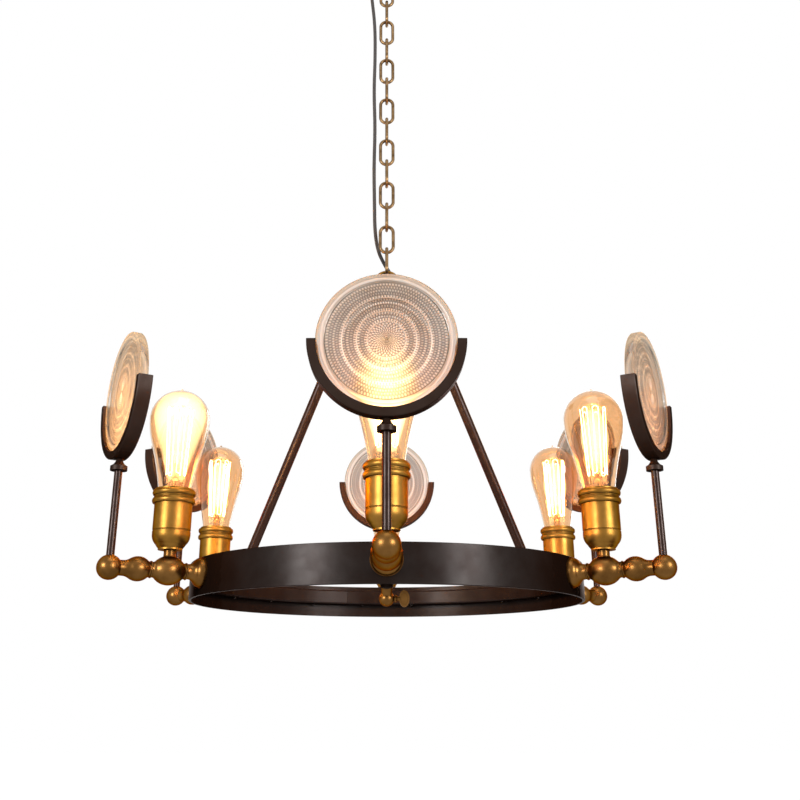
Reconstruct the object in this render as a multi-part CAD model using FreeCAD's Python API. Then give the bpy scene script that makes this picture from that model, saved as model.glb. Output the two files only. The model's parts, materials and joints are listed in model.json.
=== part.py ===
import FreeCAD, Part
import math
import os

# A six-light wheel chandelier that hangs on a chain: a ceiling canopy, an oval-link chain with
# its supply cord, a hub with three struts, a flat hoop with a wiring channel inside it, and six
# turned arms. Each arm carries a lampholder with a long bulb and, at its tip, a stem with a
# half-ring yoke that holds a round pressed-glass lens.
# Millimetres. The origin is on the ceiling, at the centre of the bracket, and +Z points up.
# The front is towards -Y.

V = FreeCAD.Vector
UP = V(0, 0, 1)
ORIGIN = V(0, 0, 0)

# Driving dimensions
frame_height = 385.0         # from the arms' axes to the top of the hub's loop
hoop_dia = 436.0             # outside of the hoop
hoop_height = 38.0
hoop_drop = 3.0              # from the arms' axes to the hoop's middle
hoop_wall = 3.0
arm_count = 6
lens_dia = 126.0
lens_rise = 177.5            # arms' axes to a lens's centre
bulb_rise = 189.5            # arms' axes to a bulb's tip
bulb_dia = 62.5
strut_count = 3
strut_dia = 12.0
canopy_dia = 124.0
canopy_depth = 28.0

# Clearances shared by the fits
running_gap = 0.05           # radial, round a pin that turns
loose_gap = 0.3              # between curved faces that move on each other
press_gap = 0.1              # round a fixed piece in its hole
through = 2.0                # how far a cutting solid runs past the wall it cuts

# Chain
link_wire_dia = 4.2
link_length = 40.7           # outside
link_width = 20.8            # outside
link_count = 14
link_pitch = link_length - 2 * link_wire_dia - loose_gap

# Eye loops at both ends of the chain
loop_wire_dia = 4.0
loop_dia = 33.0              # outside
loop_mean_radius = (loop_dia - loop_wire_dia) / 2
loop_bore_radius = loop_dia / 2 - loop_wire_dia
loop_boss_dia = 13.0
loop_boss_foot_dia = 16.1   # where the boss rests on the collar or the hub
nipple_dia = 10.0            # threaded pipe that carries the canopy's and the hub's loop

# Canopy
canopy_wall = 1.4
canopy_floor_dia = 58.0
canopy_shoulder_share = 0.55  # of the depth, where the dome turns over into the side
collar_dia = 25.0
collar_height = 8.0
collar_waist_share = 0.86     # of the collar's diameter, below its rim
collar_rim_share = 0.30       # of its height, where the rim ends
collar_waist_top_share = 0.55  # of its height, where the waist begins
loop_neck = 2.5              # between the collar and the top of the loop
bracket_length = 104.0
bracket_width = 18.0
bracket_thickness = 2.6
bracket_hole_spacing = 76.0
bracket_hole_dia = 5.0
locknut_flats = 15.0         # across flats, on the threaded pipe
locknut_height = 3.5

# Supply cord
cord_dia = 4.6
cord_hole_gap = 0.4
cord_hole_depth = 3.0
cord_arc_share = 0.45        # of the shorter run, used by an arc at each corner
grip_dia = 12.0
grip_height = 11.0
grip_foot_dia = 8.6
grip_side_share = 0.45       # of its height, where the taper begins
grip_offset = 24.0           # from the canopy's axis, on the left

# Heights from the ceiling down to the arms and the hoop
collar_bottom_z = -canopy_depth - collar_height
top_loop_z = collar_bottom_z - loop_neck - loop_dia / 2
top_bar_z = top_loop_z - loop_mean_radius
top_link_z = top_bar_z + loop_wire_dia / 2 + loose_gap - (link_length / 2 - link_wire_dia)
bottom_link_z = top_link_z - (link_count - 1) * link_pitch
link_seat = link_length / 2 - link_wire_dia
hub_bar_z = bottom_link_z - link_seat + loose_gap + loop_wire_dia / 2
hub_loop_z = hub_bar_z - loop_mean_radius
arm_z = hub_bar_z + loop_wire_dia / 2 - frame_height
hoop_z = arm_z - hoop_drop

# Hub
hub_dia = 128.0
hub_wall = 2.0
hub_rim_height = 7.0
hub_plate_thickness = 3.0
hub_plate_recess = 1.5
hub_height = 15.0            # from the plate's underside to the boss's foot
hub_flat_dia = 30.0
hub_boss_height = 4.6
hub_top_z = hub_loop_z - loop_bore_radius - hub_boss_height
hub_bottom_z = hub_top_z - hub_height

# Hoop and wiring channel
hoop_radius = hoop_dia / 2
hoop_bore_radius = hoop_radius - hoop_wall
hoop_edge = 0.5              # small bevel on the hoop's edges
channel_height = 17.5
channel_depth = 13.5
channel_wall = 1.2
channel_rise = 10.25         # from the arms' axes up to the channel's top
channel_edge = 2.0           # rounded long edges of the channel
channel_top_z = arm_z + channel_rise
channel_bottom_z = channel_top_z - channel_height
channel_inner_radius = hoop_bore_radius - channel_depth
channel_seam_gap = 0.4
channel_seam_angle = 105.0   # degrees from +X: the butt joint left of the back
channel_screw_count = 20
channel_screw_dia = 2.6
channel_screw_head_dia = 5.0
channel_screw_head_height = 1.8
screw_dome_share = 0.35      # of the head's height that is domed
screw_dome_bow_share = 0.3   # of the dome, where its arc is at its middle
screw_middle_share = 0.72    # of the head's radius, at the same place

# Struts
strut_bore_dia = 9.6
strut_top_inset = 10.0       # hub's edge to a strut's axis, at the hub's underside
strut_foot_inset = 5.5       # hoop's inner wall to a strut's axis, at the hoop's top edge
strut_top_radius = hub_dia / 2 - strut_top_inset
strut_foot_radius = hoop_bore_radius - strut_foot_inset

# Arms: lengths along the arm, in order from the hoop to the tip
arm_rim_thickness = 1.3      # the flare's plate against the hoop
arm_bell_length = 13.0
arm_first_neck = 1.6
arm_lip = 0.9                # radius of the small half-round ring before each bead
arm_bead_length = 33.6
arm_middle_neck = 0.7
arm_mid_bead_rise = 12.0     # from the neck to where the small bead is widest
arm_taper_length = 15.0
tip_neck_length = 3.46
arm_rim_dia = 31.0
arm_bell_dia = 29.6          # the flare where it leaves its plate
arm_neck_dia = 15.2
arm_bead_dia = 29.2
arm_mid_bead_dia = 24.3
tip_ball_dia = 24.4
arm_bell_share = 0.5         # of a flare's or bead's slope, where its curve turns over
arm_bead_share = 0.8
arm_taper_share = 0.55
arm_post_dia = 12.2          # short post on the big bead that carries the lampholder
arm_post_foot_dia = 15.6
arm_post_sink = 3.0          # bead's top to the start of the post's foot
arm_post_fillet = 3.4
arm_stub_dia = 8.0
arm_stub_length = 11.0
arm_nut_flats = 11.0
arm_nut_height = 3.0
arm_bell_end = hoop_radius + arm_rim_thickness + arm_bell_length
arm_bead_start = arm_bell_end + arm_first_neck + 2 * arm_lip
lamp_circle_radius = arm_bead_start + arm_bead_length / 2
arm_mid_bead_start = arm_bead_start + arm_bead_length + arm_middle_neck + 2 * arm_lip
arm_mid_radius = arm_mid_bead_start + arm_mid_bead_rise
tip_neck_start = arm_mid_radius + arm_taper_length
tip_ball_start = tip_neck_start + tip_neck_length
tip_radius = tip_ball_start + math.sqrt(tip_ball_dia ** 2 - arm_neck_dia ** 2) / 2

# Lampholders
holder_dia = 38.4
holder_wall = 1.5
holder_post_show = 5.5       # of the arm's post, between the bead and the holder
holder_foot_z = arm_z + arm_bead_dia / 2 + holder_post_show
holder_foot_dia = 24.6
holder_foot_height = 3.3     # straight band under the dome
holder_height = 61.7
holder_top_z = holder_foot_z + holder_height
holder_dome = 11.6           # height of the rounded part above the band
holder_brim_z = holder_foot_z + holder_foot_height + holder_dome
holder_groove_height = 19.1  # above the holder's foot
holder_groove_z = holder_foot_z + holder_groove_height
holder_groove = 0.7
holder_groove_width = 1.6
holder_thread_dia = 40.6     # sleeve that the ring nuts are on
holder_thread_turns = 2      # that show between the ring nuts
holder_thread_depth = 0.35
ring_dia = 43.8
ring_height = 5.0
ring_bulge = 0.8
ring_drop = 1.8              # holder's top edge to the upper ring's top
ring_space = 3.2
insulator_floor_thickness = 11.0
insulator_floor_z = holder_brim_z + insulator_floor_thickness
insulator_drop = 8.5         # holder's top edge to the liner's

# Bulbs
cap_dia = 26.0
cap_height = 28.0
cap_seat_gap = 0.5           # under the cap's contact
cap_bottom_z = insulator_floor_z + cap_seat_gap
cap_top_z = cap_bottom_z + cap_height
contact_dia = 9.0
contact_height = 2.0
cap_cone_height = 6.0
neck_dia = 33.6
neck_height = 8.0            # from the cap to the start of the glass's cone
neck_z = cap_top_z + neck_height
belly_height = 82.0          # from the cap to where the bulb is widest
belly_z = cap_top_z + belly_height
bulb_waist_share = 0.70      # how much of the belly is reached at the waist
bulb_waist_rise_share = 0.62  # how high the waist is, from neck to belly
bulb_hollow = 0.9            # how far the cone below the waist is drawn in
glass_wall = 0.9
tip_dia = 5.0                # the little nipple left on the glass
tip_height = 2.4
stem_flare_dia = 21.0
stem_flare_height = 13.0
stem_tube_dia = 8.0
stem_height = 36.0
stem_top_z = cap_top_z + stem_height

# Lens stems, yokes and lenses
stem_dia = 8.0
stem_pin_dia = 5.0
stem_socket_depth = 6.0      # how deep a stem sits in its ball
yoke_collar_drop = 11.8      # yoke's lowest point to the collar's rim
yoke_rim_dia = 17.0
yoke_rim_height = 4.5
yoke_cone_height = 7.5
yoke_waist_dia = 6.4
yoke_cone_bow_share = 0.35   # of the cone's height, and the share of its width left there
yoke_pin_depth = 9.0
yoke_thickness = 8.1
yoke_width = 14.6
yoke_lip = 0.7               # how far the yoke's groove takes in the glass
yoke_edge = 0.8
lens_rim_thickness = 9.6
lens_groove_gap = 0.3
lens_z = arm_z + lens_rise
lens_radius = lens_dia / 2
yoke_outer_radius = lens_radius + lens_groove_gap + yoke_thickness - yoke_lip
collar_rim_z = lens_z - yoke_outer_radius - yoke_collar_drop
lens_step = 0.7
lens_dome = 2.2
lens_ring_shares = (0.862, 0.63, 0.42, 0.27)   # of the lens's radius
lens_floor_thickness = 5.0

# Turn key under the channel, at the front
key_tilt = 28.0              # degrees that its axis leans inwards
key_ball_dia = 14.0
key_ball_inset = 23.0        # hoop's inner wall to the ball's centre
key_ball_drop = 25.55        # channel's underside to the ball's centre
key_ball_radius = hoop_bore_radius - key_ball_inset
key_neck_dia = 10.0
key_neck_reach = 12.0        # ball's centre to the neck's rim
key_rim_dia = 12.0
key_rim_height = 1.4
key_cone_dia = 23.0
key_cone_height = 10.0
key_stem_dia = 4.2
key_stem_reach = 12.5
key_stem_depth = 4.5
key_plate_height = 15.0
key_plate_width = 9.6
key_plate_thickness = 3.0
key_plate_dish = 0.6
key_dish_long_share = 0.78   # of the plate's height
key_dish_wide_share = 0.72   # of its width
key_collar_dia = 6.7
key_collar_height = 2.5
key_collar_edge = 1.1

# The supply cord's route, chosen by hand, from the canopy's grip to the hub's loop
cord_route = [
    (-24.0, 0.0, -36.0),
    (-24.0, 0.0, -54.0),
    (-21.5, 1.5, -84.0),
    (-16.5, 3.5, -132.0),
    (-16.0, 1.0, -188.0),
    (-17.5, -2.5, -246.0),
    (-15.5, -2.0, -303.0),
    (-17.0, 1.5, -361.0),
    (-16.0, 4.0, -415.0),
    (-15.5, 5.5, -452.0),
    (-11.5, 10.5, -478.5),
    (-3.0, 15.5, -495.5),
    (5.0, 13.0, -510.0),
    (5.5, 5.0, -522.0),
    (0.0, 0.0, -531.0),
    (0.0, 0.0, -543.2),
]


def outline(start, *steps):
    """A closed face in the XZ plane. A step of two numbers is a line's end and a step of four
    is an arc's middle and end."""
    edges = []
    here = V(start[0], 0, start[1])
    for step in steps:
        end = V(step[-2], 0, step[-1])
        if len(step) == 4:
            edges.append(Part.Arc(here, V(step[0], 0, step[1]), end).toShape())
        else:
            edges.append(Part.LineSegment(here, end).toShape())
        here = end
    first = V(start[0], 0, start[1])
    if not here.isEqual(first, 1e-7):
        edges.append(Part.LineSegment(here, first).toShape())
    return Part.Face(Part.Wire(edges))


def turned(start, *steps):
    """A solid turned about the Z axis from an outline of radii and heights."""
    return outline(start, *steps).revolve(ORIGIN, UP, 360)


def rod(radius, length, base, axis=UP):
    return Part.makeCylinder(radius, length, base, axis)


def placed(shape, x=0, y=0, z=0):
    copy = shape.copy()
    copy.translate(V(x, y, z))
    return copy


def spun(shape, degrees):
    copy = shape.copy()
    copy.rotate(ORIGIN, UP, degrees)
    return copy


def laid_outwards(shape):
    """Turns a piece that was made about the Z axis so that its axis lies along +X."""
    copy = shape.copy()
    copy.rotate(ORIGIN, V(0, 1, 0), 90)
    return copy


def upright_arc(start, end):
    """A step for an outline: the arc to end that leaves start straight up or down."""
    side, rise = end[0] - start[0], end[1] - start[1]
    radius = (side ** 2 + rise ** 2) / (2 * abs(side))
    half = math.atan2(abs(rise), radius - abs(side)) / 2
    middle = (start[0] + math.copysign(radius * (1 - math.cos(half)), side),
              start[1] + math.copysign(radius * math.sin(half), rise))
    return middle + tuple(end)


def level_arc(start, end):
    """The same, for an arc that leaves start level."""
    turned_step = upright_arc((start[1], start[0]), (end[1], end[0]))
    return (turned_step[1], turned_step[0]) + tuple(end)


def backwards(start, step):
    """An arc step walked from its end back to start."""
    return step[:2] + tuple(start)


def ogee(start, end, share):
    """Two steps for an outline: an arc that leaves start straight up or down, and one that meets
    end so, tangent where they join, at a share of the way."""
    turn = tuple(a + (b - a) * share for a, b in zip(start, end))
    return [upright_arc(start, turn), backwards(end, upright_arc(end, turn))]


def hexagon(flats, height, bore_radius, base):
    corner = flats / math.sqrt(3)
    points = [V(corner * math.cos(math.radians(60 * i)), corner * math.sin(math.radians(60 * i)), 0)
              for i in range(7)]
    nut = Part.Face(Part.makePolygon(points)).extrude(V(0, 0, height))
    nut = nut.cut(rod(bore_radius, height + 2 * through, V(0, 0, -through)))
    nut.translate(base)
    return nut


def eye_loop(centre_z, plane_normal):
    return Part.makeTorus(loop_mean_radius, loop_wire_dia / 2, V(0, 0, centre_z), plane_normal)


# Chain link: two straight legs and two half-round ends, one unbroken wire

def chain_link(centre_z, across):
    wire_radius = link_wire_dia / 2
    bend = link_width / 2 - wire_radius
    leg = link_length / 2 - link_width / 2
    legs = [rod(wire_radius, 2 * leg, V(side * bend, 0, -leg)) for side in (-1, 1)]
    half_ring = Part.makeTorus(bend, wire_radius, ORIGIN, V(0, 1, 0), 0, 360, 180)
    ends = []
    for side in (-1, 1):
        end = half_ring.copy()
        end.rotate(ORIGIN, V(0, 1, 0), 90 - side * 90 + half_ring_turn(half_ring))
        end.translate(V(0, 0, side * leg))
        ends.append(end)
    link = legs[0].fuse([legs[1]] + ends)
    if not across:
        link.rotate(ORIGIN, UP, 90)
    link.translate(V(0, 0, centre_z))
    return link


def half_ring_turn(half_ring):
    """The turn about Y, in degrees, that puts a half ring's crown on top."""
    crown = half_ring.CenterOfMass
    return -math.degrees(math.atan2(crown.x, crown.z))


def link_at(index):
    """Link 0 is the top one, seen face on from the front; the links alternate."""
    return chain_link(top_link_z - index * link_pitch, index % 2 == 0)


# Canopy group

def ceiling_bracket():
    half_length = bracket_length / 2 - bracket_width / 2
    bar = Part.makeBox(2 * half_length, bracket_width, bracket_thickness,
                       V(-half_length, -bracket_width / 2, -bracket_thickness))
    for side in (-1, 1):
        bar = bar.fuse(rod(bracket_width / 2, bracket_thickness,
                           V(side * half_length, 0, -bracket_thickness)))
    bar = bar.removeSplitter()
    for side in (-1, 1):
        bar = bar.cut(rod(bracket_hole_dia / 2, bracket_thickness + 2 * through,
                          V(side * bracket_hole_spacing / 2, 0, -bracket_thickness - through)))
    return bar.cut(rod(nipple_dia / 2 + press_gap, bracket_thickness + 2 * through,
                       V(0, 0, -bracket_thickness - through)))


def canopy_profile(inset, depth, open_reach):
    floor = (canopy_floor_dia / 2, -depth)
    rim = (canopy_dia / 2 - inset, -depth * canopy_shoulder_share)
    dome = backwards(floor, level_arc(floor, rim))
    return (0, open_reach), (rim[0], open_reach), rim, dome, (0, -depth)


def ceiling_canopy():
    outer = canopy_profile(0, canopy_depth, 0)
    inner = canopy_profile(canopy_wall, canopy_depth - canopy_wall, through)
    shell = turned(*outer).cut(turned(*inner))
    shell = shell.cut(rod(nipple_dia / 2 + press_gap, 2 * canopy_depth, V(0, 0, -1.5 * canopy_depth)))
    return shell.cut(rod(grip_dia / 4 + press_gap, canopy_depth,
                         V(-grip_offset, 0, -1.5 * canopy_depth)))


def canopy_collar():
    outer = collar_dia / 2
    waist = outer * collar_waist_share
    bore = nipple_dia / 2 + press_gap
    top = -canopy_depth
    return turned((bore, top), (outer, top), (outer, top - collar_height * collar_rim_share),
                  (waist, top - collar_height * collar_waist_top_share), (waist, collar_bottom_z),
                  (bore, collar_bottom_z))


def canopy_loop():
    boss_top = collar_bottom_z
    boss_foot = top_loop_z + loop_bore_radius
    boss = turned((0, boss_top), (loop_boss_foot_dia / 2, boss_top), (loop_boss_dia / 2, boss_foot),
                  (0, boss_foot))
    pipe = rod(nipple_dia / 2, -boss_top, V(0, 0, boss_top))
    loop = eye_loop(top_loop_z, V(1, 0, 0))
    nut = hexagon(locknut_flats, locknut_height, nipple_dia / 2 + press_gap,
                  V(0, 0, -bracket_thickness - locknut_height))
    return Part.makeCompound([loop.fuse([boss, pipe]), nut])


def cord_grip():
    hole = cord_dia / 2 + cord_hole_gap
    top = -canopy_depth
    foot = top - grip_height
    floor = cord_route[0][2]
    grip = turned((0, top + canopy_wall + through), (grip_dia / 4, top + canopy_wall + through),
                  (grip_dia / 4, top), (grip_dia / 2, top),
                  (grip_dia / 2, top - grip_height * grip_side_share), (grip_foot_dia / 2, foot),
                  (hole, foot), (hole, floor), (0, floor))
    return placed(grip, -grip_offset)


# Cord

def cord_points():
    return [V(*point) for point in cord_route]


def cord_tube():
    """Straight runs joined by tangent arcs, each as large as its two runs allow."""
    points = cord_points()
    edges = []
    here = points[0]
    radii = []
    for before, corner, after in zip(points, points[1:], points[2:]):
        to_back = (before - corner).normalize()
        to_front = (after - corner).normalize()
        half_turn = (math.pi - to_back.getAngle(to_front)) / 2
        reach = cord_arc_share * min((before - corner).Length, (after - corner).Length)
        radius = reach / math.tan(half_turn)
        radii.append(radius)
        start = corner + to_back * reach
        end = corner + to_front * reach
        bisector = (to_back + to_front).normalize()
        middle = corner + bisector * (radius / math.cos(half_turn) - radius)
        edges.append(Part.LineSegment(here, start).toShape())
        edges.append(Part.Arc(start, middle, end).toShape())
        here = end
    edges.append(Part.LineSegment(here, points[-1]).toShape())
    path = Part.Wire(edges)
    heading = (points[1] - points[0]).normalize()
    section = Part.Wire(Part.makeCircle(cord_dia / 2, points[0], heading))
    tube = path.makePipeShell([section], True, False)
    expected = math.pi * (cord_dia / 2) ** 2 * path.Length
    print("cord length %.1f mm, volume ratio %.4f" % (path.Length, tube.Volume / expected))
    print("cord radii", [round(radius, 1) for radius in radii],
          "least %.1f diameters" % (min(radii) / cord_dia))
    return tube


# Hub group

def strut_axis():
    """Foot and top of a strut's axis in the XZ plane, and its direction."""
    top = V(strut_top_radius, 0, hub_bottom_z)
    foot = V(strut_foot_radius, 0, hoop_z + hoop_height / 2)
    return foot, top, (top - foot).normalize()


def strut_angles():
    """The first strut stands at the front, towards -Y."""
    return [-90 + 360 / strut_count * i for i in range(strut_count)]


def tilted_rod(radius):
    """A long rod on a strut's axis, running past both of its ends."""
    foot, top, along = strut_axis()
    return rod(radius, (top - foot).Length + 2 * hub_dia, foot - along * hub_dia, along)


def strut(angle):
    foot, top, along = strut_axis()
    tube = tilted_rod(strut_dia / 2).cut(tilted_rod(strut_bore_dia / 2))
    head_z = hub_bottom_z + hub_plate_recess + hub_plate_thickness
    body = rod(hoop_bore_radius, head_z - channel_top_z, V(0, 0, channel_top_z))
    return spun(tube.common(body), angle)


def hub_bell():
    def dome(inset, low):
        flat = (hub_flat_dia / 2, hub_top_z - inset)
        rim = (hub_dia / 2 - inset, hub_bottom_z + hub_rim_height - inset)
        return turned((0, low), (rim[0], low), rim, backwards(flat, level_arc(flat, rim)), (0, flat[1]))

    hole = rod(nipple_dia / 2 + press_gap, hub_height, V(0, 0, hub_top_z - hub_height / 2))
    return dome(0, hub_bottom_z).cut(dome(hub_wall, hub_bottom_z - through)).cut(hole)


def hub_plate():
    plate = rod(hub_dia / 2 - hub_wall - press_gap, hub_plate_thickness,
                V(0, 0, hub_bottom_z + hub_plate_recess))
    for angle in strut_angles():
        plate = plate.cut(spun(tilted_rod(strut_dia / 2 + press_gap), angle))
    return plate


def hub_loop():
    boss_foot = hub_top_z
    boss_top = hub_loop_z - loop_bore_radius
    stub_reach = hub_height / 2
    boss = turned((0, boss_foot - stub_reach), (nipple_dia / 2, boss_foot - stub_reach),
                  (nipple_dia / 2, boss_foot), (loop_boss_foot_dia / 2, boss_foot),
                  (loop_boss_dia / 2, boss_top), (0, boss_top))
    loop = eye_loop(hub_loop_z, V(0, 1, 0)).fuse(boss)
    loop = loop.cut(rod(cord_dia / 2 + cord_hole_gap, cord_hole_depth + through,
                        V(0, 0, boss_top - cord_hole_depth)))
    nut = hexagon(locknut_flats, locknut_height, nipple_dia / 2 + press_gap,
                  V(0, 0, hub_top_z - hub_wall - locknut_height))
    return Part.makeCompound([loop, nut])


# Hoop group

def arm_angles():
    """The first arm points to the front, towards -Y; the rest follow anticlockwise."""
    return [-90 + 360 / arm_count * i for i in range(arm_count)]


def ring_band():
    low = hoop_z - hoop_height / 2
    high = hoop_z + hoop_height / 2
    outer, inner, edge = hoop_radius, hoop_bore_radius, hoop_edge
    band = turned((inner, low), (outer - edge, low), (outer, low + edge), (outer, high - edge),
                  (outer - edge, high), (inner, high))
    for angle in arm_angles():
        hole = rod(arm_stub_dia / 2 + press_gap, hoop_wall + 2 * through,
                   V(inner - through, 0, arm_z), V(1, 0, 0))
        band = band.cut(spun(hole, angle))
    return band


def switch_boss():
    """The dark cone under the channel that the turn key's neck comes out of."""
    reach = key_neck_reach
    cone = turned((0, reach), (key_rim_dia / 2, reach), (key_rim_dia / 2, reach + key_rim_height),
                  (key_cone_dia / 2, reach + key_cone_height),
                  (key_cone_dia / 2, 3 * key_neck_reach), (0, 3 * key_neck_reach))
    cone.rotate(ORIGIN, V(1, 0, 0), key_tilt)
    cone.translate(key_centre())
    room = rod(hoop_bore_radius, hoop_height, V(0, 0, channel_bottom_z - hoop_height))
    cone = cone.common(room)
    return cone.cut(switch_pipe())


def wiring_channel():
    outer, inner = hoop_bore_radius, channel_inner_radius
    low, high = channel_bottom_z, channel_top_z
    edge, wall = channel_edge, channel_wall
    bow = edge * (1 - math.cos(math.radians(45)))
    inner_edge = edge - wall
    inner_bow = inner_edge * (1 - math.cos(math.radians(45)))
    body = turned((outer, low), (outer, low + wall), (inner + edge, low + wall),
                  (inner + wall + inner_bow, low + wall + inner_bow, inner + wall, low + edge),
                  (inner + wall, high - edge),
                  (inner + wall + inner_bow, high - wall - inner_bow, inner + edge, high - wall),
                  (outer, high - wall), (outer, high), (inner + edge, high),
                  (inner + bow, high - bow, inner, high - edge), (inner, low + edge),
                  (inner + bow, low + bow, inner + edge, low))
    seam = Part.makeBox(2 * channel_depth, channel_seam_gap, hoop_height,
                        V(inner - channel_depth / 2, -channel_seam_gap / 2, hoop_z - hoop_height / 2))
    body = body.cut(spun(seam, channel_seam_angle))
    for angle in strut_angles():
        foot, top, along = strut_axis()
        start = foot - along * (channel_depth + through)
        bore = rod(strut_bore_dia / 2, channel_depth + through, start, along)
        body = body.cut(spun(bore, angle))
    for angle in channel_screw_angles():
        hole = rod(channel_screw_dia / 2 + press_gap, 2 * through,
                   V(channel_mid_radius(), 0, low - through / 2))
        body = body.cut(spun(hole, angle))
    return body.fuse(switch_boss())


def channel_mid_radius():
    return hoop_bore_radius - channel_depth / 2


def channel_screw_angles():
    """Evenly spaced, with the front place left free for the turn key."""
    step = 360 / channel_screw_count
    return [-90 + step / 2 + step * i for i in range(channel_screw_count)]


def channel_screws():
    head, shank = channel_screw_head_dia / 2, channel_screw_dia / 2
    depth = channel_screw_head_height
    dome = depth * screw_dome_share
    screws = []
    for angle in channel_screw_angles():
        bow = (head * screw_middle_share, -depth + dome * screw_dome_bow_share)
        screw = turned((0, -depth), bow + (head, -depth + dome), (head, 0), (shank, 0), (shank, 2 * depth),
                       (0, 2 * depth))
        screw.translate(V(channel_mid_radius(), 0, channel_bottom_z))
        screws.append(spun(screw, angle))
    return Part.makeCompound(screws)


# Turn key

def key_centre():
    return V(0, -key_ball_radius, channel_bottom_z - key_ball_drop)


def switch_pipe():
    """The neck's outside, from the ball up through the cone."""
    pipe = rod(key_neck_dia / 2, 2 * key_neck_reach, ORIGIN)
    pipe.rotate(ORIGIN, V(1, 0, 0), key_tilt)
    pipe.translate(key_centre())
    return pipe


def switch_body():
    ball = Part.makeSphere(key_ball_dia / 2, key_centre())
    body = ball.fuse(switch_pipe())
    bore = rod(key_stem_dia / 2 + running_gap, key_ball_dia,
               key_centre() + V(key_ball_dia / 2 - key_stem_depth, 0, 0), V(1, 0, 0))
    return body.cut(bore)


def turn_key():
    start = key_ball_dia / 2 - key_stem_depth + loose_gap
    stem = rod(key_stem_dia / 2, key_stem_reach - start, V(start, 0, 0), V(1, 0, 0))
    collar = turned((0, 0), (key_collar_dia / 2, 0),
                    (key_collar_dia / 2, key_collar_height - key_collar_edge),
                    (key_stem_dia / 2, key_collar_height), (0, key_collar_height))
    collar = placed(laid_outwards(collar), key_ball_dia / 2 + loose_gap)
    centre_x = key_stem_reach + key_plate_width / 2 - through / 2
    half_w, half_h = key_plate_width / 2, key_plate_height / 2
    ellipse = Part.Ellipse(V(centre_x, 0, half_h), V(centre_x + half_w, 0, 0), V(centre_x, 0, 0))
    oval = Part.Face(Part.Wire(ellipse.toShape())).extrude(V(0, key_plate_thickness, 0))
    oval.translate(V(0, -key_plate_thickness / 2, 0))
    small = Part.Ellipse(V(centre_x, 0, half_h * key_dish_long_share),
                         V(centre_x + half_w * key_dish_wide_share, 0, 0), V(centre_x, 0, 0))
    dish = Part.Face(Part.Wire(small.toShape())).extrude(V(0, key_plate_dish, 0))
    for side_y in (-key_plate_thickness / 2, key_plate_thickness / 2 - key_plate_dish):
        oval = oval.cut(placed(dish, 0, side_y))
    key = oval.fuse([stem, collar])
    key.translate(key_centre())
    return key


# Arms

def lip_before(at):
    """Two steps for the arm's outline: to a small half-round ring on the neck, and over it."""
    neck = arm_neck_dia / 2
    return [(neck, at - 2 * arm_lip), (neck + arm_lip, at - arm_lip, neck, at)]


def arm_spindle():
    """The turned arm about the Z axis, its heights being the distances from the hoop's axis."""
    neck, rim, bell, ball_radius = arm_neck_dia / 2, arm_rim_dia / 2, arm_bell_dia / 2, tip_ball_dia / 2
    root = math.sqrt(hoop_radius ** 2 - rim ** 2) - press_gap
    face = hoop_radius + arm_rim_thickness
    bead, middle = (arm_bead_dia / 2, lamp_circle_radius), (arm_mid_bead_dia / 2, arm_mid_radius)
    ball, ball_start = (ball_radius, tip_radius), (neck, tip_ball_start)
    steps = [(rim, root), (rim, face), (bell, face)]
    steps += ogee((bell, face), (neck, arm_bell_end), arm_bell_share)
    steps += lip_before(arm_bead_start)
    steps += ogee((neck, arm_bead_start), bead, 1 - arm_bead_share)
    steps += ogee(bead, (neck, arm_bead_start + arm_bead_length), arm_bead_share)
    steps += lip_before(arm_mid_bead_start)
    steps += ogee((neck, arm_mid_bead_start), middle, 1 - arm_bead_share)
    steps += ogee(middle, (neck, tip_neck_start), arm_taper_share)
    steps += [ball_start, backwards(ball, upright_arc(ball, ball_start)),
              upright_arc(ball, (0, tip_radius + ball_radius))]
    return turned((0, root), *steps)


def arm_post():
    """The post on the big bead, and the threaded pipe that goes on into the lampholder."""
    post, foot, pipe = arm_post_dia / 2, arm_post_foot_dia / 2, nipple_dia / 2
    low = arm_bead_dia / 2 - arm_post_sink
    shoulder = low + arm_post_fillet
    seat = holder_foot_z - arm_z
    top = seat + holder_wall + through
    fillet = backwards((post, shoulder), upright_arc((post, shoulder), (foot, low)))
    spigot = turned((0, 0), (foot, 0), (foot, low), fillet, (post, seat), (pipe, seat), (pipe, top),
                    (0, top))
    return placed(spigot, lamp_circle_radius)


def arm():
    wall = hoop_radius
    body = laid_outwards(arm_spindle()).cut(rod(wall, 2 * hoop_height, V(0, 0, -hoop_height)))
    stub_start = hoop_bore_radius - arm_stub_length
    stub = rod(arm_stub_dia / 2, wall + arm_rim_thickness - stub_start, V(stub_start, 0, 0), V(1, 0, 0))
    seat = rod(stem_dia / 2 + press_gap, tip_ball_dia,
               V(tip_radius, 0, tip_ball_dia / 2 - stem_socket_depth))
    return placed(body.fuse([stub, arm_post()]).cut(seat), 0, 0, arm_z)


def arm_locknuts():
    nut = hexagon(arm_nut_flats, arm_nut_height, arm_stub_dia / 2 + press_gap, ORIGIN)
    nut = laid_outwards(spun(nut, 30))
    seat = math.sqrt(hoop_bore_radius ** 2 - arm_nut_flats ** 2 / 3)
    nut.translate(V(seat - arm_nut_height, 0, arm_z))
    return Part.makeCompound([spun(nut, angle) for angle in arm_angles()])


# Lampholders

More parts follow.
